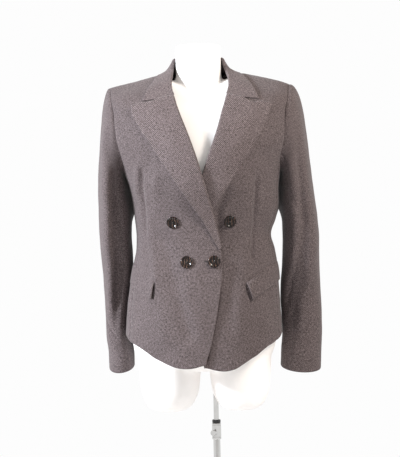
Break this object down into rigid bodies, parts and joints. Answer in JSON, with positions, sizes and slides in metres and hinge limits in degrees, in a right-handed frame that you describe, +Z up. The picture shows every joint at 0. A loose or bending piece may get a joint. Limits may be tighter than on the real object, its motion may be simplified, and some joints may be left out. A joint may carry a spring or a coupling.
{
  "type": "double-breasted blazer on a dress form",
  "caption": "Fitted double-breasted blazer with peak lapels, slanted flaps and a breast welt, on a limbless dress form with a round base and a height clamp.",
  "frame": {"origin": "on the floor under the blazer's middle, on the underside of the base plate", "axes": "+Z up, -Y the front of the blazer, +X the wearer's left"},
  "size_m": [0.4631, 0.3782, 1.467],
  "materials": {
    "wool": "grey-brown pepper-and-salt wool twill",
    "horn": "polished dark horn",
    "form_shell": "smooth off-white",
    "chrome": "polished",
    "black_plastic": "matt black"
  },
  "bodies": {
    "stand": {"base_plate": "chrome", "stand_tube": "chrome", "clamp_ring": "black_plastic", "clamp_collar": "chrome"},
    "knob": {"clamp_knob": "chrome"},
    "pole": {"pole": "chrome"},
    "torso": {"dress_form": "form_shell", "front_right": "wool", "front_left": "wool", "side_right": "wool", "side_left": "wool", "back_right": "wool", "back_left": "wool", "lapel_right": "wool", "lapel_left": "wool", "collar": "wool", "sleeve_top_right": "wool", "sleeve_top_left": "wool", "sleeve_under_right": "wool", "sleeve_under_left": "wool", "flap_right": "wool", "flap_left": "wool", "breast_welt": "wool", "button_upper_right": "horn", "button_lower_right": "horn", "button_fastened": "horn", "button_upper_left": "horn"}
  },
  "joints": [
    {"name": "height_slide", "type": "slide", "parent": "stand", "child": "pole", "axis": [0, 0, 1], "range_m": [-0.06, 0.2]},
    {"name": "form_swivel", "type": "hinge", "parent": "pole", "child": "torso", "pos_m": [0.0215, 0.056, 0.85], "axis": [0, 0, 1], "continuous": true},
    {"name": "knob_turn", "type": "hinge", "parent": "stand", "child": "knob", "pos_m": [0.0215, 0.056, 0.645], "axis": [-0.4067, -0.9136, 0], "continuous": true}
  ]
}
